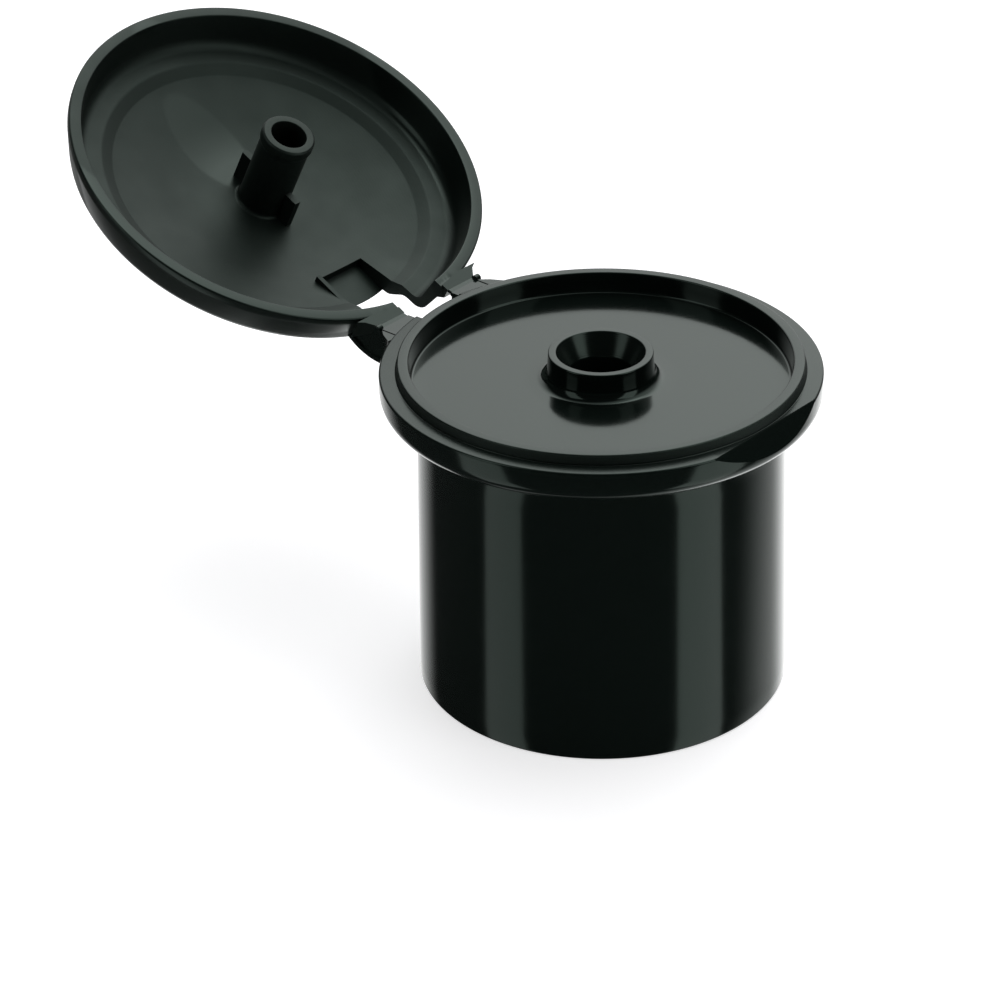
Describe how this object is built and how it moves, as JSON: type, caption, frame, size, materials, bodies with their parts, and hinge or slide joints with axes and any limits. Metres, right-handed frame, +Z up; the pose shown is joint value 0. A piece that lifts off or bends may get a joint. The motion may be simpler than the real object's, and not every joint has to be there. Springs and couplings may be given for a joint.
{
  "type": "flip top cap",
  "caption": "Flip top dispensing cap moulded in one piece: a skirt for a screw neck, a deck with a raised spout, and a hinged lid with a stopping plug.",
  "frame": {"origin": "centre of the skirt's mouth, where the neck goes in", "axes": "+Z up along the neck's axis to the spout, -X towards the hinge, hinge axis along Y"},
  "size_m": [0.0628, 0.0326, 0.0397],
  "materials": {
    "moulding": "black polypropylene, glossy with a faint green cast"
  },
  "bodies": {
    "base": {"closure_body": "moulding", "hinge_left": "moulding", "hinge_right": "moulding"},
    "lid": {"lid": "moulding"}
  },
  "joints": [
    {"name": "lid_hinge", "type": "hinge", "parent": "base", "child": "lid", "pos_m": [-0.01673, 0, 0.02468], "axis": [0, -1, 0], "range_deg": [-152.6, 27.4], "deforming": ["hinge_left", "hinge_right"]}
  ]
}
